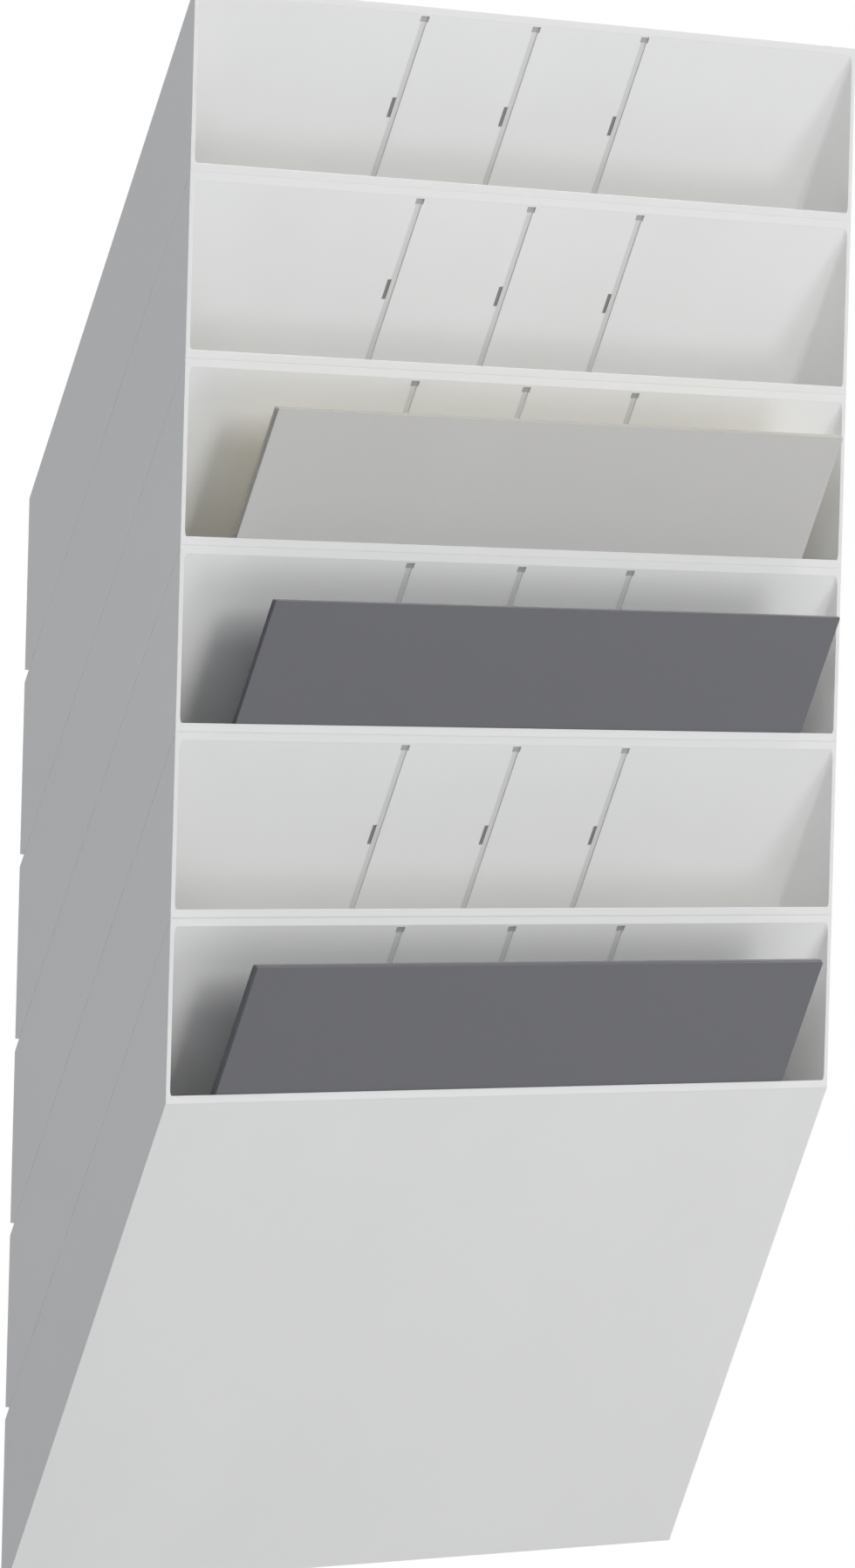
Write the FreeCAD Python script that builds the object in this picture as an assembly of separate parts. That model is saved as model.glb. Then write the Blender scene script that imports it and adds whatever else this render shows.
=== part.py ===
import FreeCAD, Part
import math
import os

# A wall-hung literature holder: six slanted pocket boxes that plug together.
# Stacks of leaflets stand in three of them.
# Frame: X along the wall, Y into the wall (the wall face is at y = 0), Z up.
# The origin is the centre of the twelve keyhole entries. All lengths are in millimetres.

# The stack of boxes
box_count = 6
outer_width = 346.0
depth = 66.0
rise = 166.0
pitch = 60.0
stack_gap = 0.2

# Walls of one box
panel_wall = 1.0
cheek_wall = 2.0
rear_wall = 2.4
outer_corner_radius = 0.8
inner_back_radius = 1.5
inner_front_radius = 1.0
nose_height = 4.0

# Divider grooves on the inner face of the back panel
groove_shares = (1 / 3, 1 / 2, 2 / 3)
groove_width = 3.0
groove_depth = 0.4
groove_setback = 0.8
groove_foot_setback = 12.0
notch_width = 4.2
notch_height = 2.0
notch_depth = 0.5
slit_width = 2.4
slit_length = 7.0
slit_depth = 0.6
slit_setback = 33.0
slit_offset = 2.0

# Coupling tongues at the top of the rear wall, and the recesses that take them
tongue_offset = 60.0
tongue_width = 36.0
tongue_thickness = 1.0
tongue_height = 9.0
tongue_root = 8.0
tongue_lead_in = 0.4
tongue_side_clearance = 0.3
tongue_face_clearance = 0.2
tongue_end_clearance = 0.4

# Keyholes in the rear wall, for screws that stand in the wall
keyhole_offset = 113.0
keyhole_entry_height = 27.0
keyhole_entry_radius = 4.5
keyhole_slot_radius = 2.25
keyhole_drop = 9.0

# Stacks of A4 leaflets, lying sideways on the front panels
leaflet_width = 297.0
leaflet_height = 210.0
leaflet_clearance = 0.2
leaflets = {
    "leaflets_light": {"box": 3, "thickness": 2.4, "sideways": 3.0},
    "leaflets_dark_upper": {"box": 4, "thickness": 1.6, "sideways": 5.0},
    "leaflets_dark_lower": {"box": 6, "thickness": 2.4, "sideways": 0.0},
}

# One overrun serves all cuts
cut_overrun = 2.0

# Directions and sizes that follow from the driving dimensions
slope_length = math.hypot(depth, rise)
up_the_slope = FreeCAD.Vector(0, -depth / slope_length, rise / slope_length)
through_the_slope = FreeCAD.Vector(0, rise / slope_length, depth / slope_length)
along_the_wall = FreeCAD.Vector(1, 0, 0)
into_the_wall = FreeCAD.Vector(0, 1, 0)
box_height = pitch - stack_gap
box_thickness = box_height * depth / slope_length
inner_low = panel_wall
inner_high = box_thickness - panel_wall
inner_half_width = outer_width / 2 - cheek_wall
origin_height = (box_count - 1) / 2 * pitch + keyhole_entry_height


def slanted_point(x, u, v):
    """The point at x along the wall, u up the slope and v through it, seen from the foot of a box."""
    return along_the_wall * x + up_the_slope * u + through_the_slope * v


def wall_u(v):
    """How far up the slope the wall plane lies, at v through the slope."""
    return v * rise / depth


def mouth_u(v):
    """How far up the slope the plane of the mouth lies, at v through the slope."""
    return slope_length + wall_u(v)


def slanted_block(x_span, u_span, v_span):
    """A block with square corners that follows the slope."""
    corners = [
        slanted_point(x_span[0], u_span[0], v_span[0]),
        slanted_point(x_span[1], u_span[0], v_span[0]),
        slanted_point(x_span[1], u_span[0], v_span[1]),
        slanted_point(x_span[0], u_span[0], v_span[1]),
    ]
    face = Part.Face(Part.makePolygon(corners + corners[:1]))
    return face.extrude(up_the_slope * (u_span[1] - u_span[0]))


def rounded_bar(half_width, v_span, front_radius, back_radius, u_span):
    """A bar up the slope whose section is a rectangle with rounded corners."""
    low, high = v_span
    corner_shares = ((-1, 0), (1, 0), (1, 1), (-1, 1))
    edges = []
    ends = []
    for side, level in corner_shares:
        radius = back_radius if level else front_radius
        x_centre = side * (half_width - radius)
        v_centre = high - radius if level else low + radius
        lift = radius if level else -radius
        flat_end = (x_centre, v_centre + lift)
        upright_end = (x_centre + side * radius, v_centre)
        middle = (x_centre + side * radius * math.sqrt(0.5), v_centre + lift * math.sqrt(0.5))
        first, last = (flat_end, upright_end) if side * lift < 0 else (upright_end, flat_end)
        points = [slanted_point(x, u_span[0], v) for x, v in (first, middle, last)]
        edges.append(Part.Arc(*points).toShape())
        ends.append((points[0], points[2]))
    for corner, following in zip(ends, ends[1:] + ends[:1]):
        edges.append(Part.makeLine(corner[1], following[0]))
    wire = Part.Wire(Part.__sortEdges__(edges))
    return Part.Face(wire).extrude(up_the_slope * (u_span[1] - u_span[0]))


def upright_block(x_span, y_span, z_span):
    """A block along the axes."""
    low = FreeCAD.Vector(x_span[0], y_span[0], z_span[0])
    return Part.makeBox(x_span[1] - x_span[0], y_span[1] - y_span[0], z_span[1] - z_span[0], low)


def box_shell():
    """The outer bar, cut off at the wall, the mouth and the blunt nose, and hollowed from the mouth."""
    u_span = (-cut_overrun, mouth_u(box_thickness) + cut_overrun)
    outer_bar = rounded_bar(
        outer_width / 2, (0, box_thickness), outer_corner_radius, outer_corner_radius, u_span
    )
    x_span = (-outer_width / 2 - cut_overrun, outer_width / 2 + cut_overrun)
    top = rise + pitch + cut_overrun
    outside = outer_bar.common(upright_block(x_span, (-depth, 0), (nose_height, top)))
    inner_bar = rounded_bar(
        inner_half_width, (inner_low, inner_high), inner_front_radius, inner_back_radius, u_span
    )
    room = upright_block(x_span, (-depth - cut_overrun, -rear_wall), (0, top + cut_overrun))
    hollow = inner_bar.common(room)
    return outside.cut(hollow)


def divider_cuts():
    """The three grooves of a back panel, each with its notch and its slit."""
    face = inner_high
    inside = face - cut_overrun
    groove_top = mouth_u(face) - groove_setback
    groove_foot = wall_u(face) + groove_foot_setback
    slit_middle = mouth_u(face) - slit_setback
    cuts = []
    for share in groove_shares:
        x = outer_width * (share - 1 / 2)
        groove_x = (x - groove_width / 2, x + groove_width / 2)
        cuts.append(slanted_block(groove_x, (groove_foot, groove_top), (inside, face + groove_depth)))
        notch_x = (x - notch_width / 2, x + notch_width / 2)
        notch_u = (groove_top - notch_height, groove_top)
        cuts.append(slanted_block(notch_x, notch_u, (inside, face + notch_depth)))
        slit_x = (x - slit_offset - slit_width / 2, x - slit_offset + slit_width / 2)
        slit_u = (slit_middle - slit_length / 2, slit_middle + slit_length / 2)
        cuts.append(slanted_block(slit_x, slit_u, (inside, face + slit_depth)))
    return cuts


def tongue(x):
    """A flat tongue that stands up from the rear wall, with a bevelled lead-in on its room side."""
    top = pitch + tongue_height
    root = box_height - tongue_root
    profile = [
        (0, root),
        (-tongue_thickness, root),
        (-tongue_thickness, top - tongue_lead_in),
        (-tongue_thickness + tongue_lead_in, top),
        (0, top),
    ]
    outline = [FreeCAD.Vector(x - tongue_width / 2, y, z) for y, z in profile]
    face = Part.Face(Part.makePolygon(outline + outline[:1]))
    return face.extrude(along_the_wall * tongue_width)


def tongue_recess(x):
    """The recess at the foot of a rear wall that takes the tongue of the box below."""
    half_width = tongue_width / 2 + tongue_side_clearance
    y_span = (-tongue_thickness - tongue_face_clearance, cut_overrun)
    z_span = (0, tongue_height + tongue_end_clearance)
    return upright_block((x - half_width, x + half_width), y_span, z_span)


def keyhole(x):
    """A round entry for a screw head, with a slot above it for the screw's shank."""
    start = FreeCAD.Vector(x, -rear_wall - cut_overrun, keyhole_entry_height)
    length = rear_wall + cut_overrun + cut_overrun
    entry = Part.makeCylinder(keyhole_entry_radius, length, start, into_the_wall)
    seat_height = keyhole_entry_height + keyhole_drop
    seat_start = FreeCAD.Vector(x, start.y, seat_height)
    seat = Part.makeCylinder(keyhole_slot_radius, length, seat_start, into_the_wall)
    slot_x = (x - keyhole_slot_radius, x + keyhole_slot_radius)
    slot = upright_block(slot_x, (start.y, start.y + length), (keyhole_entry_height, seat_height))
    return entry.fuse([seat, slot]).removeSplitter()


def pocket_box():
    """One box, standing with the foot of its slope at the origin."""
    box = box_shell()
    box = box.fuse([tongue(side * tongue_offset) for side in (-1, 1)])
    cuts = divider_cuts()
    for side in (-1, 1):
        cuts.append(tongue_recess(side * tongue_offset))
        cuts.append(keyhole(side * keyhole_offset))
    return box.cut(cuts).removeSplitter()


def leaflet_stack(thickness, sideways):
    """A stack of leaflets lying on the front panel, with its lower rear edge at the rear wall."""
    v_span = (inner_low + leaflet_clearance, inner_low + leaflet_clearance + thickness)
    foot = wall_u(v_span[1]) + (rear_wall + leaflet_clearance) * slope_length / depth
    x_span = (sideways - leaflet_width / 2, sideways + leaflet_width / 2)
    return slanted_block(x_span, (foot, foot + leaflet_height), v_span)


def box_place(number):
    """Where the foot of a box is: box 1 is the top one."""
    return FreeCAD.Vector(0, 0, (box_count - number) * pitch - origin_height)


def moved(shape, offset):
    """A copy of a shape at another place."""
    copy = shape.copy()
    copy.translate(offset)
    return copy


os.makedirs("parts", exist_ok=True)

model_box = pocket_box()
for number in range(1, box_count + 1):
    moved(model_box, box_place(number)).exportStep("parts/pocket_box_%d.step" % number)

for name, values in leaflets.items():
    stack = leaflet_stack(values["thickness"], values["sideways"])
    moved(stack, box_place(values["box"])).exportStep("parts/%s.step" % name)
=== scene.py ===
import math
import random

import bmesh
import bpy
from mathutils import Matrix, Vector


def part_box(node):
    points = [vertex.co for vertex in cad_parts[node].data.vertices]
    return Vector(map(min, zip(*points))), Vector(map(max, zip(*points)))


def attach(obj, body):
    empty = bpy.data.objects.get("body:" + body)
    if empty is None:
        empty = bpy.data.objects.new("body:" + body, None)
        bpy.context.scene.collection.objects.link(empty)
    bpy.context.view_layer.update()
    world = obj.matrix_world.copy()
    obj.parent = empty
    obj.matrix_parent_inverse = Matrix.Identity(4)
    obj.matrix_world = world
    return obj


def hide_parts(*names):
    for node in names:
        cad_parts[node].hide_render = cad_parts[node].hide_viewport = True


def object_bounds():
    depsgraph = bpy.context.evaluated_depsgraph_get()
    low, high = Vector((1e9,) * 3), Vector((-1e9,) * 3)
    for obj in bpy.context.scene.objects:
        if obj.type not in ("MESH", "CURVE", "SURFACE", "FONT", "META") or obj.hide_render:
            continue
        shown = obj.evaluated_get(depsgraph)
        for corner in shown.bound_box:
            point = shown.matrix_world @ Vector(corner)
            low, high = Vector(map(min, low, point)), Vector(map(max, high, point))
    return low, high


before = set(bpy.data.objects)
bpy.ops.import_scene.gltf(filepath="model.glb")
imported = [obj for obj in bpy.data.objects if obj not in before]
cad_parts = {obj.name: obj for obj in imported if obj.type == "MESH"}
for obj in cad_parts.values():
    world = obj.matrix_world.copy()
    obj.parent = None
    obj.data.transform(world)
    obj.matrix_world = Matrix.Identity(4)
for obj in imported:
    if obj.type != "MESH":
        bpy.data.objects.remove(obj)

# The looks of a wall-hung literature holder: six slanted pocket boxes that plug together,
# with stacks of leaflets in three of them. All lengths are in metres, X runs along the wall,
# Y into the wall, whose face is at y = 0, and Z up.

bl_info = {
    "name": "Literature holder",
    "version": (1, 0, 0),
    "blender": (4, 5, 0),
    "location": "3D View > Sidebar > Holder",
    "description": "Models and finishes a wall-hung holder with six slanted pockets",
    "category": "Object",
}

MM = 0.001
BOX_NODES = sorted(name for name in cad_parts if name.startswith("pocket_box_"))
LIGHT_NODES = ["leaflets_light"]
DARK_NODES = ["leaflets_dark_upper", "leaflets_dark_lower"]
BOX_BODY = "boxes"
CAD_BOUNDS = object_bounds()

# What the frame says of the stack of boxes
FIRST_LOW, FIRST_HIGH = (Vector(corner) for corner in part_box(BOX_NODES[0]))
SECOND_LOW = Vector(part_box(BOX_NODES[1])[0])
STACK_GAP = 0.2 * MM
NOSE_HEIGHT = 4.0 * MM
FRAME_WIDTH = FIRST_HIGH.x - FIRST_LOW.x
FRAME_DEPTH = FIRST_HIGH.y - FIRST_LOW.y
FRAME_PITCH = FIRST_LOW.z - SECOND_LOW.z
FRAME_RISE = FIRST_HIGH.z - FIRST_LOW.z + NOSE_HEIGHT - (FRAME_PITCH - STACK_GAP)
FIRST_FOOT = FIRST_LOW.z - NOSE_HEIGHT

# How edges and faces are told apart: a length, two cosines and four angles
NEAR = 0.01 * MM
STRAIGHT = 0.9999
FACING = 0.9
RIM_TURN = math.radians(5)
SHEET_TURN = math.radians(60)
BOX_SMOOTH = math.radians(32)
LEAFLET_SMOOTH = math.radians(40)

# How finely roundings and holes are divided
OUTER_STEPS = 4
RIM_STEPS = 4
BACK_STEPS = 8
FRONT_STEPS = 4
CORNER_STEPS = 3
EDGE_STEPS = 2
ENTRY_SIDES = 40
SEAT_SIDES = 28
FLOOR_SIDES = 96

# Where the grooves lie along the width, and the place of each finish on a piece
GROOVE_SHARES = (1 / 3, 1 / 2, 2 / 3)
GROOVE_PLACE, NOTCH_PLACE, SLIT_PLACE = 1, 2, 3
FACE_PLACE, EDGE_PLACE, REAR_PLACE = 0, 1, 2

# What the random draws of each finish of leaflet start from
LIGHT_SEED = 3
DARK_SEED = 7

# The part of a noise, and of the way a face looks up, that shows
CLOUD_SPAN = (0.3, 0.7)
PATCH_SPAN = (0.35, 0.75)
UPWARD_SPAN = (0.2, 0.9)

# The plastic: scales of its grain, clouds and dust, how it is worn, and how deep the painted shade
# on its rim reaches
PLASTIC_GRAIN = 1500
PLASTIC_CLOUD = 11
DUST_PATCH = 60
DUST_SHARE = 0.35
RIM_SHADE_DEPTH = 0.3 * MM
RUB_DEPTH = 12 * MM
RUBBED_ROUGHNESS = 0.34
PLASTIC_ROUGHNESS = 0.42
UNEVEN_ROUGHNESS = 0.03
PLASTIC_BUMP = 0.12
PLASTIC_BUMP_DEPTH = 0.05 * MM
PLASTIC_IOR = 1.5

# The paper: scales of its tooth and clouds, and how much of each shows
PAPER_GRAIN = 2400
PAPER_CLOUD = 18
MOTTLE_SHARE = 0.06
TOOTH_SHARE = 0.05
PAPER_ROUGHNESS = (0.58, 0.7)
PAPER_BUMP = 0.2
PAPER_BUMP_DEPTH = 0.04 * MM

# The stage: each lamp's name, with its degrees to the right and up from the holder's middle
WHITE = (1, 1, 1, 1)
LAMPS = {
    "key": ("front_lamp", 5, 20),
    "side": ("side_lamp", 85, 60),
    "fill": ("fill_lamp", -55, 20),
    "low": ("low_lamp", 45, -15),
    "back": ("back_lamp", 174, -10),
}
CAMERA_REACH = 100
SPECKLE_SCALE = 40
SPECKLE_SHARE = 0.04
FLOOR_ROUGHNESS = 0.9


def tone(red, green, blue):
    """A colour given as it looks on a screen, from 0 to 255, as a linear colour."""
    steps = [value / 255 for value in (red, green, blue)]
    linear = [s / 12.92 if s <= 0.04045 else ((s + 0.055) / 1.055) ** 2.4 for s in steps]
    return (*linear, 1.0)


def length(name, description, default):
    """A length that a user can change."""
    return bpy.props.FloatProperty(
        name=name, description=description, default=default, unit="LENGTH", precision=5
    )


def share(name, description, default):
    """A share from nothing to all."""
    return bpy.props.FloatProperty(
        name=name, description=description, default=default, min=0, max=1, subtype="FACTOR"
    )


def angle(name, description, degrees):
    """An angle that a user can change."""
    return bpy.props.FloatProperty(
        name=name, description=description, default=math.radians(degrees), subtype="ANGLE"
    )


def colour(name, description, default):
    """A surface colour that a user can change."""
    return bpy.props.FloatVectorProperty(
        name=name, description=description, default=default, size=4, min=0, max=1, subtype="COLOR"
    )


def place(name, description, default):
    """A place in the room."""
    return bpy.props.FloatVectorProperty(
        name=name, description=description, default=default, size=3, subtype="TRANSLATION"
    )


def power(name, description, default):
    """The power of a lamp."""
    return bpy.props.FloatProperty(
        name=name, description=description, default=default, min=0, unit="POWER"
    )


class HolderBoxSizes(bpy.types.PropertyGroup):
    """Sizes of one pocket box"""

    width: length("Width", "Outer width of a box", FRAME_WIDTH)
    depth: length("Depth", "From the wall to the mouth", FRAME_DEPTH)
    rise: length("Rise", "How far a panel climbs from the wall to the mouth", FRAME_RISE)
    pitch: length("Pitch", "From one box to the next", FRAME_PITCH)
    gap: length("Gap", "Gap between two boxes", STACK_GAP)
    nose: length("Nose", "Height of the blunt cut at the foot of a box", NOSE_HEIGHT)
    panel: length("Panel", "Thickness of the front and back panels", 1.0 * MM)
    cheek: length("Cheek", "Thickness of the side cheeks", 2.0 * MM)
    rear: length("Rear wall", "Thickness of the wall that lies on the room's wall", 2.4 * MM)
    back_radius: length("Back radius", "Inner radius between cheek and back panel", 1.5 * MM)
    front_radius: length("Front radius", "Inner radius between cheek and front panel", 1.0 * MM)
    outer_round: length("Outer rounding", "Width of the rounding on the outer edges", 0.2 * MM)
    rim_round: length("Rim rounding", "Width of the rounding inside the mouth", 0.2 * MM)
    groove_width: length("Groove width", "Width of a divider groove", 3.0 * MM)
    groove_depth: length("Groove depth", "Depth of a divider groove", 0.4 * MM)
    groove_setback: length("Groove setback", "From the mouth to the top of a groove", 0.8 * MM)
    groove_foot: length("Groove foot", "From the wall to the foot of a groove", 12.0 * MM)
    notch_width: length("Notch width", "Width of the notch at the top of a groove", 4.2 * MM)
    notch_height: length("Notch height", "Height of that notch", 2.0 * MM)
    notch_depth: length("Notch depth", "Depth of that notch", 0.5 * MM)
    slit_width: length("Slit width", "Width of the slit beside a groove", 2.4 * MM)
    slit_length: length("Slit length", "Length of that slit", 7.0 * MM)
    slit_depth: length("Slit depth", "Depth of that slit", 0.6 * MM)
    slit_setback: length("Slit setback", "From the mouth to the middle of a slit", 33.0 * MM)
    slit_offset: length("Slit offset", "From a groove to its slit", 2.0 * MM)
    tongue_offset: length("Tongue offset", "From the middle to a coupling tongue", 60.0 * MM)
    tongue_width: length("Tongue width", "Width of a coupling tongue", 36.0 * MM)
    tongue_thickness: length("Tongue thickness", "Thickness of a coupling tongue", 1.0 * MM)
    tongue_height: length("Tongue height", "How far a tongue stands into the next box", 9.0 * MM)
    tongue_root: length("Tongue root", "How far a tongue runs down the rear wall", 8.0 * MM)
    tongue_lead_in: length("Lead-in", "Bevel at the top of a tongue", 0.4 * MM)
    tongue_setback: length("Tongue setback", "From the wall to the rear of a tongue", 0.05 * MM)
    tongue_side_room: length("Side room", "Clearance beside a tongue", 0.3 * MM)
    tongue_face_room: length("Face room", "Clearance before a tongue", 0.2 * MM)
    tongue_end_room: length("End room", "Clearance above a tongue", 0.4 * MM)
    keyhole_offset: length("Keyhole offset", "From the middle to a keyhole", 113.0 * MM)
    keyhole_height: length("Keyhole height", "From the foot to the entry of a keyhole", 27.0 * MM)
    keyhole_entry: length("Keyhole entry", "Radius of a keyhole's entry", 4.5 * MM)
    keyhole_slot: length("Keyhole slot", "Radius of a keyhole's slot", 2.25 * MM)
    keyhole_drop: length("Keyhole drop", "From the entry to the seat of a keyhole", 9.0 * MM)
    overrun: length("Overrun", "How far a cut starts outside the wall", 2.0 * MM)


class HolderLeafletSizes(bpy.types.PropertyGroup):
    """Sizes of the leaflets"""

    sheet: length("Sheet", "Thickness of one leaflet", 0.4 * MM)
    air: length("Air", "Gap between two leaflets", 0.02 * MM)
    stray: length("Stray", "How far a leaflet lies out of line", 0.35 * MM)
    corner: length("Corner", "Radius of a leaflet's corners", 0.6 * MM)
    edge: length("Edge", "Rounding along a leaflet's cut edges", 0.06 * MM)


class HolderFinishes(bpy.types.PropertyGroup):
    """Colours of the holder and its leaflets"""

    plastic: colour("Plastic", "White satin plastic", tone(246, 245, 241))
    plastic_deep: colour(
        "Plastic, deeper", "Where the moulding is a little duller", tone(243, 242, 238)
    )
    # Painted shade: a slightly darker tone on the rim of the mouth, which dims the brightly lit
    # lips
    rim: colour("Rim", "Where hands have dulled the rim", tone(242, 241, 237))
    # Painted shade: the grooves, the floors of the notches and those of the slits get darker tones
    # for the shade in these recesses, the slits darkest
    groove: colour("Grooves", "Dust along the divider grooves", tone(225, 224, 221))
    groove_shade_deep: colour("Grooves, deeper", "Where that dust lies thicker", tone(219, 218, 214))
    notch: colour("Notches", "Dust in the notches", tone(176, 175, 172))
    notch_shade_deep: colour("Notches, deeper", "Where that dust lies thicker", tone(168, 167, 163))
    slit: colour("Slits", "Grime in the slits", tone(130, 129, 126))
    slit_shade_deep: colour("Slits, deeper", "Where that grime lies thicker", tone(116, 115, 112))
    dust: colour("Dust", "Dust on what faces up", tone(205, 202, 193))
    light_paper: colour("Light leaflets", "Face of the light leaflets", tone(211, 209, 204))
    # Painted shade: the cut edges of the light leaflets take a darker tone, which keeps their lit
    # top edges from showing brighter than the face
    light_edge: colour("Light edges", "Cut edges of the light leaflets", tone(174, 172, 164))
    light_rear: colour("Light rears", "Rear of the light leaflets", tone(232, 227, 209))
    dark_paper: colour("Dark leaflets", "Face of the dark leaflets", tone(106, 106, 110))
    dark_edge: colour("Dark edges", "Cut edges of the dark leaflets", tone(114, 114, 118))


class HolderStage(bpy.types.PropertyGroup):
    """The camera, the lamps and the floor"""

    camera_place: place("Camera", "Where the camera stands", (-2.72383, -2.31277, 0.14244))
    camera_yaw: angle("Yaw", "The way the camera looks, from +Y towards +X", 49.9966)
    camera_pitch: angle("Pitch", "How far the camera looks up", -0.8165)
    camera_roll: angle("Roll", "How far the camera is tilted", 1.5443)
    camera_lens: bpy.props.FloatProperty(
        name="Lens", description="Focal length", default=242.97, unit="CAMERA"
    )
    lamp_distance: length("Lamp distance", "From the middle of the holder to a lamp", 2.2)
    lamp_size: length("Lamp size", "Side of a lamp", 1.0)
    key_power: power("Key power", "Power of the front lamp", 16.5)
    key_tint: colour("Key tint", "Colour of the front lamp", (0.97, 0.98, 1.0, 1.0))
    side_power: power("Side power", "Power of the high lamp at the right", 34.0)
    side_tint: colour("Side tint", "Colour of the high lamp at the right", (1.0, 0.985, 0.93, 1.0))
    fill_power: power("Fill power", "Power of the lamp at the left", 8.2)
    fill_tint: colour("Fill tint", "Colour of the lamp at the left", (0.9, 0.94, 1.0, 1.0))
    low_power: power("Low power", "Power of the low lamp at the right", 6.8)
    low_tint: colour("Low tint", "Colour of the low lamp at the right", (0.97, 0.98, 1.0, 1.0))
    back_power: power("Back power", "Power of the lamp behind the holder", 11.0)
    back_tint: colour("Back tint", "Colour of the lamp behind the holder", (0.97, 0.98, 1.0, 1.0))
    sky: colour("Sky", "Light from all round", (0.23, 0.235, 0.258, 1.0))
    floor_drop: length("Floor drop", "From the foot of the holder to the floor", 1.6)
    floor_radius: length("Floor radius", "Radius of the floor", 4.0)
    floor: colour("Floor colour", "Pale floor", tone(238, 238, 237))
    floor_glow: share("Floor glow", "How much of the floor's white is its own", 0.8)


def deselect_all():
    """Leaves nothing selected, the frame's own nodes included."""
    bpy.ops.object.select_all(action="DESELECT")


def add_block(name, middle, size, tilt=0.0):
    """Adds a cube at its size and place and keeps its place in its mesh."""
    deselect_all()
    bpy.ops.mesh.primitive_cube_add(size=1, location=middle, rotation=(tilt, 0, 0), scale=size)
    return settled(name)


def add_cylinder(name, middle, radius, depth, sides):
    """Adds a cylinder along Y at its size and place and keeps its place in its mesh."""
    deselect_all()
    bpy.ops.mesh.primitive_cylinder_add(
        vertices=sides, radius=radius, depth=depth, location=middle, rotation=(math.pi / 2, 0, 0)
    )
    return settled(name)


def settled(name):
    """Names the new object and moves its place, turn and size into its mesh."""
    bpy.ops.object.transform_apply(location=True, rotation=True, scale=True)
    piece = bpy.context.object
    piece.name = name
    piece.data.name = name
    return piece


def pick(kind, test):
    """In edit mode, selects only those vertices, edges or faces that pass the test."""
    bpy.ops.mesh.select_mode(type=kind)
    bpy.ops.mesh.select_all(action="DESELECT")
    shape = bmesh.from_edit_mesh(bpy.context.object.data)
    parts = {"VERT": shape.verts, "EDGE": shape.edges, "FACE": shape.faces}[kind]
    chosen = [part for part in parts if test(part)]
    if not chosen:
        raise RuntimeError("nothing to select on " + bpy.context.object.name)
    for part in chosen:
        part.select_set(True)
    shape.select_flush_mode()
    bmesh.update_edit_mesh(bpy.context.object.data)


def only(piece):
    """Makes one piece the only selected one, and the active one."""
    deselect_all()
    piece.select_set(True)
    bpy.context.view_layer.objects.active = piece


def join(pieces, name):
    """Joins several pieces into one mesh."""
    deselect_all()
    for piece in pieces:
        piece.select_set(True)
    bpy.context.view_layer.objects.active = pieces[0]
    bpy.ops.object.join()
    pieces[0].name = name
    pieces[0].data.name = name
    return pieces[0]


def apply_boolean(piece, tool, operation):
    """Cuts or adds a tool, and takes the tool away."""
    only(piece)
    bpy.ops.object.modifier_add(type="BOOLEAN")
    modifier = piece.modifiers[-1]
    modifier.operation = operation
    modifier.solver = "EXACT"
    modifier.use_self = True
    modifier.object = tool
    bpy.ops.object.modifier_apply(modifier=modifier.name)
    bpy.data.objects.remove(tool)


def smooth_finish(piece, limit):
    """Smooths the roundings and keeps the flat faces flat."""
    only(piece)
    bpy.ops.object.shade_smooth_by_angle(angle=limit)
    bpy.ops.object.modifier_add(type="WEIGHTED_NORMAL")
    modifier = piece.modifiers[-1]
    modifier.keep_sharp = True
    bpy.ops.object.modifier_apply(modifier=modifier.name)


def copied(piece, name, offset):
    """A copy with its own mesh, moved into place in its mesh."""
    only(piece)
    bpy.ops.object.duplicate(linked=False)
    bpy.ops.transform.translate(value=offset)
    return settled(name)


class Slope:
    """The slanted directions of a box, seen from its foot."""

    def __init__(self, sizes, foot):
        self.sizes = sizes
        self.foot = Vector((0, 0, foot))
        self.tilt = math.atan2(sizes.depth, sizes.rise)
        self.length = math.hypot(sizes.depth, sizes.rise)
        self.up = Vector((0, -sizes.depth, sizes.rise)) / self.length
        self.through = Vector((0, sizes.rise, sizes.depth)) / self.length
        self.height = sizes.pitch - sizes.gap
        self.inner_face = self.height * sizes.depth / self.length - sizes.panel

    def point(self, x, u, v):
        """The point at x along the wall, u up the slope and v through it."""
        return self.foot + Vector((x, 0, 0)) + self.up * u + self.through * v

    def wall_u(self, v):
        """How far up the slope the wall lies."""
        return v * self.sizes.rise / self.sizes.depth

    def mouth_u(self, v):
        """How far up the slope the mouth lies."""
        return self.length + self.wall_u(v)

    def block(self, name, x_span, u_span, v_span):
        """A block that follows the slope."""
        spans = (x_span, u_span, v_span)
        middles = [(low + high) / 2 for low, high in spans]
        width, rise, thickness = (high - low for low, high in spans)
        return add_block(name, self.point(*middles), (width, thickness, rise), self.tilt)


def runs_along(edge, direction):
    """True if an edge runs along a direction."""
    line = edge.verts[1].co - edge.verts[0].co
    return abs(line.normalized().dot(direction)) > STRAIGHT


def near(value, target):
    """True if two lengths agree to a hundredth of a millimetre."""
    return abs(value - target) < NEAR


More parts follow.
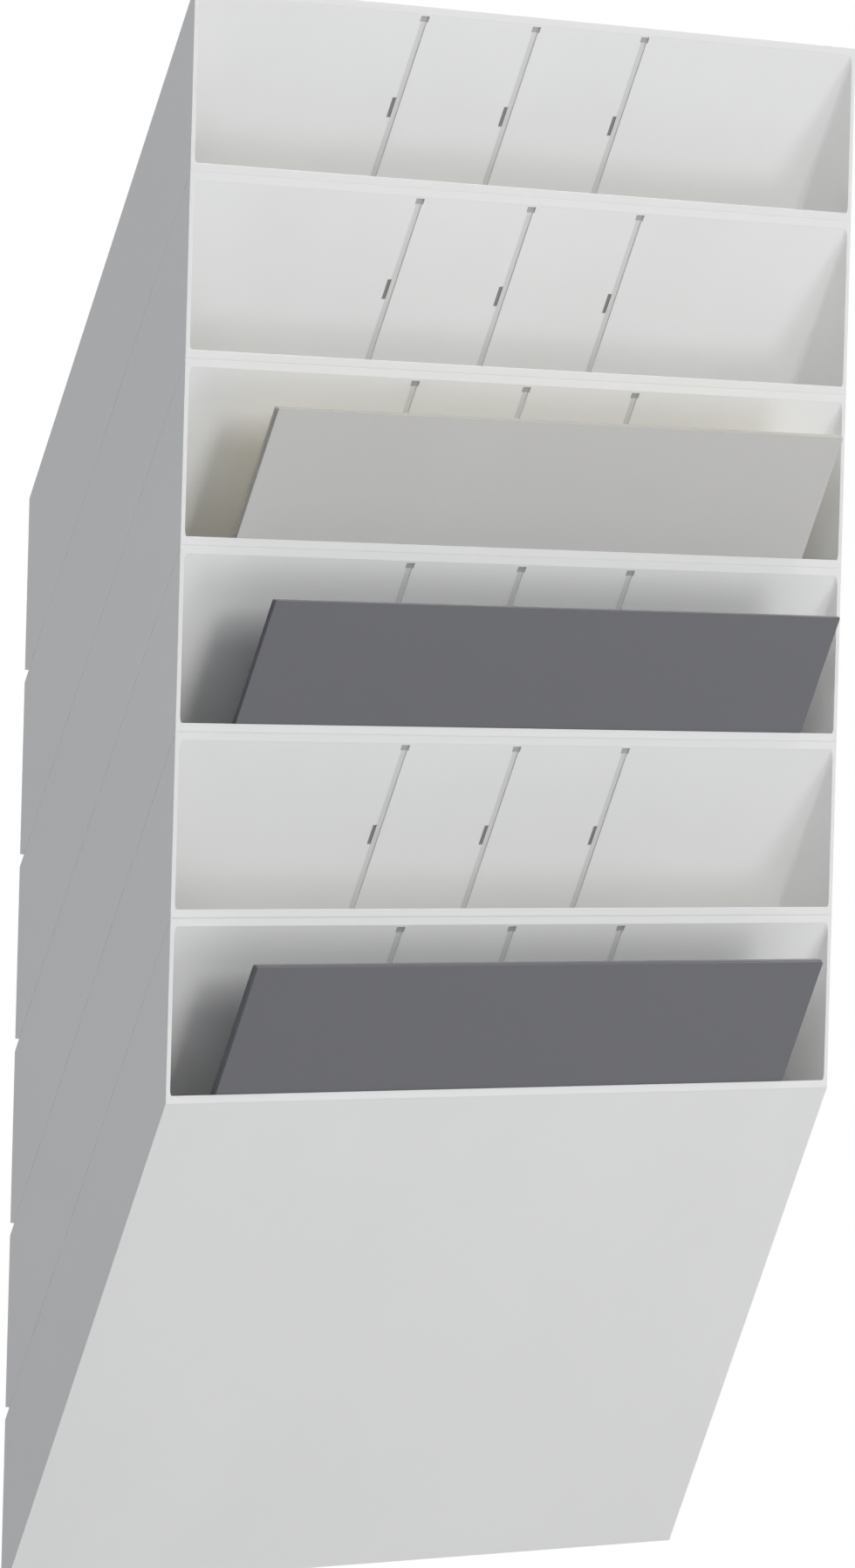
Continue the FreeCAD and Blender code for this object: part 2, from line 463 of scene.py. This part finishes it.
def box_shell(sizes, slope):
    """One box as a slanted shell, open at the mouth, with its edges rounded."""
    middle = slope.foot + Vector((0, -sizes.depth / 2, slope.height / 2))
    box = add_block("box_model", middle, (sizes.width, sizes.depth, slope.height))
    bpy.ops.object.mode_set(mode="EDIT")

    # The mouth rises above the wall, the foot is cut off blunt and the outer edges are rounded
    pick("VERT", lambda v: near(v.co.y, -sizes.depth))
    bpy.ops.transform.translate(value=(0, 0, sizes.rise))
    bpy.ops.mesh.select_all(action="SELECT")
    nose = slope.foot + Vector((0, 0, sizes.nose))
    bpy.ops.mesh.bisect(plane_co=nose, plane_no=(0, 0, 1), use_fill=True, clear_inner=True)
    bpy.ops.mesh.select_all(action="SELECT")
    bpy.ops.mesh.bevel(
        offset_type="WIDTH", offset=sizes.outer_round, segments=OUTER_STEPS, affect="EDGES"
    )

    # The flat of the mouth is inset, and the inset squared to the opening of the pocket
    cheek_middle = (sizes.width - sizes.cheek) / 2

    def in_mouth(part):
        return all(near(v.co.y, -sizes.depth) for v in part.verts)

    def in_opening(vertex):
        return near(vertex.co.y, -sizes.depth) and abs(vertex.co.x) < cheek_middle

    pick("FACE", in_mouth)
    bpy.ops.mesh.inset(thickness=sizes.cheek, depth=0)
    mouth_middle = slope.foot.z + sizes.rise + slope.height / 2
    inner_side = sizes.width / 2 - sizes.cheek
    inner_half = slope.height / 2 - sizes.panel * slope.length / sizes.depth
    for side in (-1, 1):
        pick("VERT", lambda v: in_opening(v) and v.co.x * side > 0)
        bpy.ops.transform.resize(value=(0, 1, 1), center_override=(side * inner_side, 0, 0))
        pick("VERT", lambda v: in_opening(v) and (v.co.z - mouth_middle) * side > 0)
        edge_height = mouth_middle + side * inner_half
        bpy.ops.transform.resize(value=(1, 1, 0), center_override=(0, 0, edge_height))

    # The pocket is drawn in from that opening, down to the rear wall
    pick("FACE", lambda f: all(in_opening(v) for v in f.verts))
    run = sizes.depth - sizes.rear
    inward = (0, run, -run * sizes.rise / sizes.depth)
    bpy.ops.mesh.extrude_region_move(TRANSFORM_OT_translate={"value": inward})

    # The long corners inside the pocket
    corners = [
        (slope.inner_face, sizes.back_radius, BACK_STEPS),
        (sizes.panel, sizes.front_radius, FRONT_STEPS),
    ]
    for level, radius, segments in corners:

        def is_corner(edge):
            start = edge.verts[0].co
            v = (start - slope.foot).dot(slope.through)
            return runs_along(edge, slope.up) and near(abs(start.x), inner_side) and near(v, level)

        pick("EDGE", is_corner)
        bpy.ops.mesh.bevel(offset_type="OFFSET", offset=radius, segments=segments, affect="EDGES")

    # The inner edge of the rim
    def is_inner_rim(edge):
        return all(in_opening(v) for v in edge.verts) and edge.calc_face_angle(0) > RIM_TURN

    pick("EDGE", is_inner_rim)
    bpy.ops.mesh.bevel(
        offset_type="WIDTH", offset=sizes.rim_round, segments=RIM_STEPS, affect="EDGES"
    )
    bpy.ops.object.mode_set(mode="OBJECT")
    return box


def divider_cuts(sizes, slope):
    """Cutters for the three grooves of a back panel, each with its notch and its slit."""
    face = slope.inner_face
    start = face - sizes.overrun
    groove_top = slope.mouth_u(face) - sizes.groove_setback
    groove_foot = slope.wall_u(face) + sizes.groove_foot
    slit_middle = slope.mouth_u(face) - sizes.slit_setback
    slit_half = sizes.slit_length / 2
    groove_span = (groove_foot, groove_top)
    notch_span = (groove_top - sizes.notch_height, groove_top)
    slit_span = (slit_middle - slit_half, slit_middle + slit_half)
    cutters = []
    for groove_share in GROOVE_SHARES:
        x = sizes.width * (groove_share - 1 / 2)
        cuts = [
            (x, sizes.groove_width, groove_span, sizes.groove_depth),
            (x, sizes.notch_width, notch_span, sizes.notch_depth),
            (x - sizes.slit_offset, sizes.slit_width, slit_span, sizes.slit_depth),
        ]
        for middle, width, u_span, depth in cuts:
            x_span = (middle - width / 2, middle + width / 2)
            cutters.append(slope.block("divider_cut", x_span, u_span, (start, face + depth)))
    return cutters


def keyhole_cuts(sizes, slope):
    """Cutters for the keyholes in the rear wall."""
    cutters = []
    reach = sizes.rear + 2 * sizes.overrun
    for side in (-1, 1):
        x = side * sizes.keyhole_offset
        entry = slope.foot + Vector((x, -sizes.rear / 2, sizes.keyhole_height))
        rise = Vector((0, 0, sizes.keyhole_drop))
        seat = entry + rise
        cutters.append(
            add_cylinder("keyhole_entry", entry, sizes.keyhole_entry, reach, ENTRY_SIDES)
        )
        cutters.append(add_cylinder("keyhole_seat", seat, sizes.keyhole_slot, reach, SEAT_SIDES))
        slot_size = (2 * sizes.keyhole_slot, reach, sizes.keyhole_drop)
        cutters.append(add_block("keyhole_slot", entry + rise / 2, slot_size))
    return cutters


def tongue_cuts(sizes, slope):
    """Cutters for the recesses that take the tongues of the box below."""
    cutters = []
    depth = sizes.tongue_thickness + sizes.tongue_face_room
    height = sizes.tongue_height + sizes.tongue_end_room
    width = sizes.tongue_width + 2 * sizes.tongue_side_room
    size = (width, depth + sizes.overrun, height + sizes.overrun)
    for side in (-1, 1):
        y = (sizes.overrun - depth) / 2
        z = (height - sizes.overrun) / 2
        middle = slope.foot + Vector((side * sizes.tongue_offset, y, z))
        cutters.append(add_block("tongue_cut", middle, size))
    return cutters


def tongue(sizes, slope, side):
    """A coupling tongue that stands up from the rear wall, bevelled at its top."""
    low = slope.height - sizes.tongue_root
    high = sizes.pitch + sizes.tongue_height
    thickness = sizes.tongue_thickness
    y = -(thickness + sizes.tongue_setback) / 2
    middle = slope.foot + Vector((side * sizes.tongue_offset, y, (low + high) / 2))
    size = (sizes.tongue_width, thickness - sizes.tongue_setback, high - low)
    piece = add_block("tongue", middle, size)
    top = slope.foot.z + high
    bpy.ops.object.mode_set(mode="EDIT")
    pick("EDGE", lambda e: all(near(v.co.z, top) and near(v.co.y, -thickness) for v in e.verts))
    bpy.ops.mesh.bevel(
        offset_type="OFFSET", offset=sizes.tongue_lead_in, segments=1, affect="EDGES"
    )
    bpy.ops.object.mode_set(mode="OBJECT")
    return piece


def model_box(sizes):
    """The top box, whole."""
    slope = Slope(sizes, FIRST_FOOT)
    box = box_shell(sizes, slope)
    tongues = join([tongue(sizes, slope, side) for side in (-1, 1)], "tongues")
    apply_boolean(box, tongues, "UNION")
    cutters = divider_cuts(sizes, slope) + keyhole_cuts(sizes, slope) + tongue_cuts(sizes, slope)
    apply_boolean(box, join(cutters, "cutters"), "DIFFERENCE")
    smooth_finish(box, BOX_SMOOTH)
    return box


def leaflet_stack(sizes, box_sizes, node, seed):
    """A stack of leaflets in the space of its solid, each a little out of line."""
    slope = Slope(box_sizes, 0)
    low, high = (Vector(corner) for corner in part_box(node))
    middle = (low + high) / 2
    span = high - low
    sine, cosine = math.sin(slope.tilt), math.cos(slope.tilt)
    height = (cosine * span.z - sine * span.y) / (cosine**2 - sine**2)
    thickness = (cosine * span.y - sine * span.z) / (cosine**2 - sine**2)
    count = max(2, round(thickness / sizes.sheet))
    step = thickness / count
    draw = random.Random(seed)
    sheets = []
    for number in range(count):
        level = (number + 1 / 2) * step - thickness / 2
        aside = draw.uniform(-1, 1) * sizes.stray
        down = draw.uniform(0, 1) * sizes.stray
        trim = 2 * sizes.stray
        at = middle + Vector((aside, 0, 0)) + slope.through * level - slope.up * (down / 2)
        size = (span.x - trim, step - sizes.air, height - down)
        sheets.append(leaflet(sizes, slope, at, size))
    stack = join(sheets, node + "_stack")
    smooth_finish(stack, LEAFLET_SMOOTH)
    return stack


def leaflet(sizes, slope, middle, size):
    """One leaflet: a thin block with rounded corners, its cut edges eased."""
    sheet = add_block("leaflet", middle, size, slope.tilt)
    bpy.ops.object.mode_set(mode="EDIT")
    pick("EDGE", lambda e: runs_along(e, slope.through))
    bpy.ops.mesh.bevel(
        offset_type="OFFSET", offset=sizes.corner, segments=CORNER_STEPS, affect="EDGES"
    )
    pick("EDGE", lambda e: e.calc_face_angle(0) > SHEET_TURN)
    bpy.ops.mesh.bevel(
        offset_type="OFFSET", offset=sizes.edge, segments=EDGE_STEPS, affect="EDGES"
    )
    bpy.ops.object.mode_set(mode="OBJECT")
    return sheet


def paint_leaflets(stack, materials, slope):
    """Gives the faces, the cut edges and the rears of the leaflets a material each."""
    stack.data.materials.clear()
    for material in materials:
        stack.data.materials.append(material)
    for polygon in stack.data.polygons:
        turned = polygon.normal.dot(slope.through)
        if turned > FACING:
            polygon.material_index = REAR_PLACE
        elif turned < -FACING:
            polygon.material_index = FACE_PLACE
        else:
            polygon.material_index = EDGE_PLACE


class Nodes:
    """A short way to write a node tree."""

    def __init__(self, tree):
        self.tree = tree

    def add(self, kind, inputs=None, **settings):
        """Adds a node, sets it up, and fills its sockets with values or links."""
        node = self.tree.nodes.new(kind)
        for key, value in settings.items():
            setattr(node, key, value)
        for key, value in (inputs or {}).items():
            socket = node.inputs[key]
            if isinstance(value, bpy.types.NodeSocket):
                self.tree.links.new(value, socket)
            else:
                socket.default_value = value
        return node

    def noise(self, position, scale, detail, rough=0.5):
        """A noise value over the surface."""
        inputs = {"Vector": position, "Scale": scale, "Detail": detail, "Roughness": rough}
        return self.add("ShaderNodeTexNoise", inputs).outputs[0]

    def ramp(self, value, low, high, to_low=0.0, to_high=1.0):
        """A value moved from one span to another, and held inside it."""
        inputs = {"Value": value, "From Min": low, "From Max": high}
        inputs.update({"To Min": to_low, "To Max": to_high})
        return self.add("ShaderNodeMapRange", inputs).outputs[0]

    def math(self, operation, first, second):
        """One step of arithmetic."""
        return self.add("ShaderNodeMath", {0: first, 1: second}, operation=operation).outputs[0]

    def blend(self, amount, first, second):
        """A mix of two colours."""
        node = self.add("ShaderNodeMix", data_type="RGBA")
        for key, value in (("Factor_Float", amount), ("A_Color", first), ("B_Color", second)):
            socket = next(s for s in node.inputs if s.identifier == key)
            if isinstance(value, bpy.types.NodeSocket):
                self.tree.links.new(value, socket)
            else:
                socket.default_value = value
        return next(s for s in node.outputs if s.identifier == "Result_Color")


def new_group(name, inputs, outputs):
    """An empty shader group with named sockets, and its two end nodes."""
    group = bpy.data.node_groups.new(name, "ShaderNodeTree")
    for label, kind in inputs:
        group.interface.new_socket(label, in_out="INPUT", socket_type=kind)
    for label in outputs:
        group.interface.new_socket(label, in_out="OUTPUT", socket_type="NodeSocketFloat")
    nodes = Nodes(group)
    start = nodes.add("NodeGroupInput")
    end = nodes.add("NodeGroupOutput")
    return group, nodes, start.outputs, end.inputs


def surface_grain():
    """Fine grain and slow unevenness, for moulded and for pressed surfaces."""
    sockets = [
        ("Position", "NodeSocketVector"),
        ("Grain scale", "NodeSocketFloat"),
        ("Cloud scale", "NodeSocketFloat"),
    ]
    group, nodes, given, result = new_group("Surface grain", sockets, ["Grain", "Cloud"])
    fine = nodes.noise(given["Position"], given["Grain scale"], detail=3.0, rough=0.6)
    slow = nodes.noise(given["Position"], given["Cloud scale"], detail=4.0, rough=0.55)
    group.links.new(fine, result["Grain"])
    group.links.new(nodes.ramp(slow, *CLOUD_SPAN), result["Cloud"])
    return group


def settled_dust():
    """Dust that lies on what faces up, in patches."""
    sockets = [("Position", "NodeSocketVector"), ("Patch scale", "NodeSocketFloat")]
    group, nodes, given, result = new_group("Settled dust", sockets, ["Dust"])
    normal = nodes.add("ShaderNodeNewGeometry").outputs["Normal"]
    height = nodes.add("ShaderNodeSeparateXYZ", {"Vector": normal}).outputs["Z"]
    facing = nodes.ramp(height, *UPWARD_SPAN)
    uneven = nodes.noise(given["Position"], given["Patch scale"], detail=6.0, rough=0.65)
    patches = nodes.ramp(uneven, *PATCH_SPAN)
    group.links.new(nodes.math("MULTIPLY", facing, patches), result["Dust"])
    return group


def new_material(name):
    """An empty material with its shader, and the position on the piece."""
    material = bpy.data.materials.new(name)
    material.use_nodes = True
    material.node_tree.nodes.clear()
    nodes = Nodes(material.node_tree)
    shader = nodes.add("ShaderNodeBsdfPrincipled")
    nodes.add("ShaderNodeOutputMaterial", {"Surface": shader.outputs["BSDF"]})
    position = nodes.add("ShaderNodeTexCoord").outputs["Object"]
    return material, nodes, shader.inputs, position


def link(nodes, value, socket):
    """Feeds a shader socket."""
    nodes.tree.links.new(value, socket)


def paint_grooves(box, materials, sizes, slope):
    """Gives the grooves, the floors of the notches and those of the slits a material each, whose
    darker tones are painted shade.
    """
    box.data.materials.clear()
    for material in materials:
        box.data.materials.append(material)

    # All of them lie in the middle half of the width, behind the rim and before the rear wall
    side_limit = sizes.width / 4
    mouth_limit = sizes.groove_setback / 4 - sizes.depth
    shallowest = sizes.groove_depth / 4
    for polygon in box.data.polygons:
        depth = (polygon.center - slope.foot).dot(slope.through) - slope.inner_face
        between = abs(polygon.center.x) < side_limit
        behind_mouth = mouth_limit < polygon.center.y < -sizes.rear
        if not (between and behind_mouth):
            continue
        if near(depth, sizes.slit_depth):
            polygon.material_index = SLIT_PLACE
        elif near(depth, sizes.notch_depth):
            polygon.material_index = NOTCH_PLACE
        elif shallowest < depth < sizes.slit_depth:
            polygon.material_index = GROOVE_PLACE


def satin_plastic(name, plain, deep, finishes, grain_group, dust_group):
    """White plastic with a fine spark-eroded grain, rubbed smoother at the mouth, and with painted
    shade on the rim of the mouth.
    """
    material, nodes, shader, position = new_material(name)
    grain = nodes.add("ShaderNodeGroup", node_tree=grain_group)
    grain.inputs["Grain scale"].default_value = PLASTIC_GRAIN
    grain.inputs["Cloud scale"].default_value = PLASTIC_CLOUD
    link(nodes, position, grain.inputs["Position"])
    dust = nodes.add("ShaderNodeGroup", node_tree=dust_group)
    dust.inputs["Patch scale"].default_value = DUST_PATCH
    link(nodes, position, dust.inputs["Position"])

    clouded = nodes.blend(grain.outputs["Cloud"], plain, deep)
    dusty = nodes.ramp(dust.outputs["Dust"], 0, 1, 0, DUST_SHARE)
    depth = nodes.add("ShaderNodeSeparateXYZ", {"Vector": position}).outputs["Y"]
    mouth = -FRAME_DEPTH
    # The rim of the mouth is blended towards the rim tone: painted shade on the lit lips
    rim_shade = nodes.ramp(depth, mouth, mouth + RIM_SHADE_DEPTH, 1, 0)
    blended_tone = nodes.blend(rim_shade, nodes.blend(dusty, clouded, finishes.dust), finishes.rim)
    link(nodes, blended_tone, shader["Base Color"])

    rubbed = nodes.ramp(depth, mouth, mouth + RUB_DEPTH, RUBBED_ROUGHNESS, PLASTIC_ROUGHNESS)
    uneven = nodes.ramp(grain.outputs["Cloud"], 0, 1, -UNEVEN_ROUGHNESS, UNEVEN_ROUGHNESS)
    link(nodes, nodes.math("ADD", rubbed, uneven), shader["Roughness"])
    bump = nodes.add("ShaderNodeBump", {"Height": grain.outputs["Grain"]})
    bump.inputs["Strength"].default_value = PLASTIC_BUMP
    bump.inputs["Distance"].default_value = PLASTIC_BUMP_DEPTH
    link(nodes, bump.outputs["Normal"], shader["Normal"])
    shader["IOR"].default_value = PLASTIC_IOR
    return material


def leaflet_paper(name, face, blended_tone, grain_group):
    """Uncoated card with a slight tooth and faint mottling."""
    material, nodes, shader, position = new_material(name)
    grain = nodes.add("ShaderNodeGroup", node_tree=grain_group)
    grain.inputs["Grain scale"].default_value = PAPER_GRAIN
    grain.inputs["Cloud scale"].default_value = PAPER_CLOUD
    link(nodes, position, grain.inputs["Position"])
    mottle = nodes.ramp(grain.outputs["Cloud"], 0, 1, 0, MOTTLE_SHARE)
    tooth = nodes.ramp(grain.outputs["Grain"], *CLOUD_SPAN, 0, TOOTH_SHARE)
    link(nodes, nodes.blend(nodes.math("ADD", mottle, tooth), face, blended_tone), shader["Base Color"])
    rough = nodes.ramp(grain.outputs["Grain"], *CLOUD_SPAN, *PAPER_ROUGHNESS)
    link(nodes, rough, shader["Roughness"])
    bump = nodes.add("ShaderNodeBump", {"Height": grain.outputs["Grain"]})
    bump.inputs["Strength"].default_value = PAPER_BUMP
    bump.inputs["Distance"].default_value = PAPER_BUMP_DEPTH
    link(nodes, bump.outputs["Normal"], shader["Normal"])
    return material


def shared_group(name, make):
    """A shader group that is built once."""
    return bpy.data.node_groups.get(name) or make()


class HolderBoxes(bpy.types.Operator):
    """Models one pocket box and copies it down the stack"""

    bl_idname = "holder.pocket_boxes"
    bl_label = "Pocket boxes"

    def execute(self, context):
        sizes = context.scene.holder_box_sizes
        finishes = context.scene.holder_finishes
        grain_group = shared_group("Surface grain", surface_grain)
        dust_group = shared_group("Settled dust", settled_dust)
        # The groove, notch and slit materials carry darker tones as painted shade in those
        # recesses
        shades = [
            ("satin_plastic", finishes.plastic, finishes.plastic_deep),
            ("groove_plastic", finishes.groove, finishes.groove_shade_deep),
            ("notch_plastic", finishes.notch, finishes.notch_shade_deep),
            ("slit_plastic", finishes.slit, finishes.slit_shade_deep),
        ]
        materials = [satin_plastic(*shade, finishes, grain_group, dust_group) for shade in shades]
        first = model_box(sizes)
        paint_grooves(first, materials, sizes, Slope(sizes, FIRST_FOOT))
        for number, node in enumerate(BOX_NODES):
            box = copied(first, node + "_moulding", (0, 0, -number * sizes.pitch))
            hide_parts(node)
            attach(box, BOX_BODY)
        bpy.data.objects.remove(first)
        return {"FINISHED"}


def dress_leaflets(context, nodes, slot, tones, seed):
    """Models the stacks of one finish and sets them on their bodies."""
    sizes = context.scene.holder_leaflet_sizes
    box_sizes = context.scene.holder_box_sizes
    face, edge, rear = tones
    grain_group = shared_group("Surface grain", surface_grain)
    papers = [
        leaflet_paper(slot + "_face", face, edge, grain_group),
        leaflet_paper(slot + "_edge", edge, face, grain_group),
        leaflet_paper(slot + "_rear", rear, edge, grain_group),
    ]
    for number, node in enumerate(nodes):
        stack = leaflet_stack(sizes, box_sizes, node, seed + number)
        paint_leaflets(stack, papers, Slope(box_sizes, 0))
        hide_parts(node)
        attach(stack, node)


class HolderLightLeaflets(bpy.types.Operator):
    """Models the stack of light leaflets"""

    bl_idname = "holder.light_leaflets"
    bl_label = "Light leaflets"

    def execute(self, context):
        finishes = context.scene.holder_finishes
        tones = (finishes.light_paper, finishes.light_edge, finishes.light_rear)
        dress_leaflets(context, LIGHT_NODES, "leaflet_light", tones, LIGHT_SEED)
        return {"FINISHED"}


class HolderDarkLeaflets(bpy.types.Operator):
    """Models the stacks of dark leaflets"""

    bl_idname = "holder.dark_leaflets"
    bl_label = "Dark leaflets"

    def execute(self, context):
        finishes = context.scene.holder_finishes
        tones = (finishes.dark_paper, finishes.dark_edge, finishes.dark_paper)
        dress_leaflets(context, DARK_NODES, "leaflet_dark", tones, DARK_SEED)
        return {"FINISHED"}


def camera_turn(yaw, pitch, roll):
    """The camera's axes: it looks along yaw and pitch, and is then rolled."""
    flat = math.cos(pitch)
    ahead = Vector((math.sin(yaw) * flat, math.cos(yaw) * flat, math.sin(pitch)))
    level = Vector((math.cos(yaw), -math.sin(yaw), 0))
    upright = level.cross(ahead)
    right = level * math.cos(roll) + upright * math.sin(roll)
    up = upright * math.cos(roll) - level * math.sin(roll)
    return Matrix((right, up, -ahead)).transposed()


def add_camera(stage):
    """The camera that took the picture."""
    data = bpy.data.cameras.new("camera")
    data.lens = stage.camera_lens
    data.clip_end = CAMERA_REACH
    camera = bpy.data.objects.new("camera", data)
    bpy.context.scene.collection.objects.link(camera)
    turn = camera_turn(stage.camera_yaw, stage.camera_pitch, stage.camera_roll)
    camera.matrix_world = Matrix.Translation(stage.camera_place) @ turn.to_4x4()
    bpy.context.scene.camera = camera


def add_lamp(stage, name, azimuth, elevation, watts, tint):
    """A square soft lamp that faces the holder, seen from its middle to the right and up."""
    low, high = (Vector(corner) for corner in CAD_BOUNDS)
    target = (low + high) / 2
    across, up = math.radians(azimuth), math.radians(elevation)
    flat = math.cos(up)
    outward = Vector((math.sin(across) * flat, -math.cos(across) * flat, math.sin(up)))
    data = bpy.data.lights.new(name, "AREA")
    data.energy = watts
    data.color = tint[:3]
    data.size = stage.lamp_size
    lamp = bpy.data.objects.new(name, data)
    bpy.context.scene.collection.objects.link(lamp)
    lamp.location = target + outward * stage.lamp_distance
    lamp.rotation_euler = (-outward).to_track_quat("-Z", "Y").to_euler()


def seen_rays(nodes):
    """One for the rays that show the background, straight or in a reflection."""
    rays = nodes.add("ShaderNodeLightPath").outputs
    mirrored = nodes.math("MAXIMUM", rays["Is Glossy Ray"], rays["Is Transmission Ray"])
    return nodes.math("MAXIMUM", rays["Is Camera Ray"], mirrored)


def add_world(stage):
    """Soft light from all round, with a white background."""
    world = bpy.data.worlds.new("room")
    bpy.context.scene.world = world
    world.use_nodes = True
    world.node_tree.nodes.clear()
    nodes = Nodes(world.node_tree)
    light = nodes.add("ShaderNodeBackground", {"Color": tuple(stage.sky), "Strength": 1.0})
    white = nodes.add("ShaderNodeBackground", {"Color": WHITE, "Strength": 1.0})
    ends = {0: seen_rays(nodes), 1: light.outputs[0], 2: white.outputs[0]}
    mixed = nodes.add("ShaderNodeMixShader", ends)
    nodes.add("ShaderNodeOutputWorld", {"Surface": mixed.outputs[0]})


def add_floor(stage):
    """A pale round floor some way below, which keeps the holder's soft shadow."""
    deselect_all()
    height = FIRST_FOOT - (len(BOX_NODES) - 1) * FRAME_PITCH - stage.floor_drop
    bpy.ops.mesh.primitive_circle_add(
        vertices=FLOOR_SIDES, radius=stage.floor_radius, fill_type="NGON", location=(0, 0, height)
    )
    floor = settled("floor")
    material, nodes, shader, position = new_material("pale_floor")
    uneven = nodes.noise(position, SPECKLE_SCALE, detail=4.0)
    speckle = nodes.ramp(uneven, *CLOUD_SPAN, 0, SPECKLE_SHARE)
    link(nodes, nodes.blend(speckle, stage.floor, WHITE), shader["Base Color"])
    shader["Roughness"].default_value = FLOOR_ROUGHNESS
    glow = nodes.add("ShaderNodeEmission", {"Color": WHITE, "Strength": 1.0})
    output = next(n for n in nodes.tree.nodes if n.type == "OUTPUT_MATERIAL")
    principled = next(n for n in nodes.tree.nodes if n.type == "BSDF_PRINCIPLED")
    amount = nodes.math("MULTIPLY", seen_rays(nodes), stage.floor_glow)
    ends = {0: amount, 1: principled.outputs[0], 2: glow.outputs[0]}
    mixed = nodes.add("ShaderNodeMixShader", ends)
    link(nodes, mixed.outputs[0], output.inputs["Surface"])
    floor.data.materials.append(material)


class HolderStageSetup(bpy.types.Operator):
    """Sets up the camera, the lamps, the background and the floor"""

    bl_idname = "holder.stage"
    bl_label = "Stage"

    def execute(self, context):
        stage = context.scene.holder_stage
        add_camera(stage)
        for role, (name, azimuth, elevation) in LAMPS.items():
            watts = getattr(stage, role + "_power")
            tint = getattr(stage, role + "_tint")
            add_lamp(stage, name, azimuth, elevation, watts, tint)
        add_world(stage)
        add_floor(stage)
        context.scene.view_settings.view_transform = "Standard"
        return {"FINISHED"}


class HolderPanel(bpy.types.Panel):
    """Lists what the holder is made of"""

    bl_idname = "VIEW3D_PT_holder"
    bl_label = "Literature holder"
    bl_space_type = "VIEW_3D"
    bl_region_type = "UI"
    bl_category = "Holder"

    def draw(self, context):
        for operator in OPERATORS:
            self.layout.operator(operator.bl_idname)
        for key in SETTINGS:
            group = getattr(context.scene, key)
            box = self.layout.box()
            for name in group.__annotations__:
                box.prop(group, name)


OPERATORS = (HolderBoxes, HolderLightLeaflets, HolderDarkLeaflets, HolderStageSetup)
SETTINGS = {
    "holder_box_sizes": HolderBoxSizes,
    "holder_leaflet_sizes": HolderLeafletSizes,
    "holder_finishes": HolderFinishes,
    "holder_stage": HolderStage,
}


def register():
    """Makes the settings, the operators and the panel known."""
    for key, settings in SETTINGS.items():
        bpy.utils.register_class(settings)
        setattr(bpy.types.Scene, key, bpy.props.PointerProperty(type=settings))
    for operator in OPERATORS:
        bpy.utils.register_class(operator)
    bpy.utils.register_class(HolderPanel)


def unregister():
    """Takes the panel, the operators and the settings away."""
    bpy.utils.unregister_class(HolderPanel)
    for operator in reversed(OPERATORS):
        bpy.utils.unregister_class(operator)
    for key, settings in reversed(list(SETTINGS.items())):
        delattr(bpy.types.Scene, key)
        bpy.utils.unregister_class(settings)


def main():
    """Builds the holder and its stage."""
    register()
    bpy.ops.holder.pocket_boxes()
    bpy.ops.holder.light_leaflets()
    bpy.ops.holder.dark_leaflets()
    bpy.ops.holder.stage()


if __name__ == "__main__":
    main()
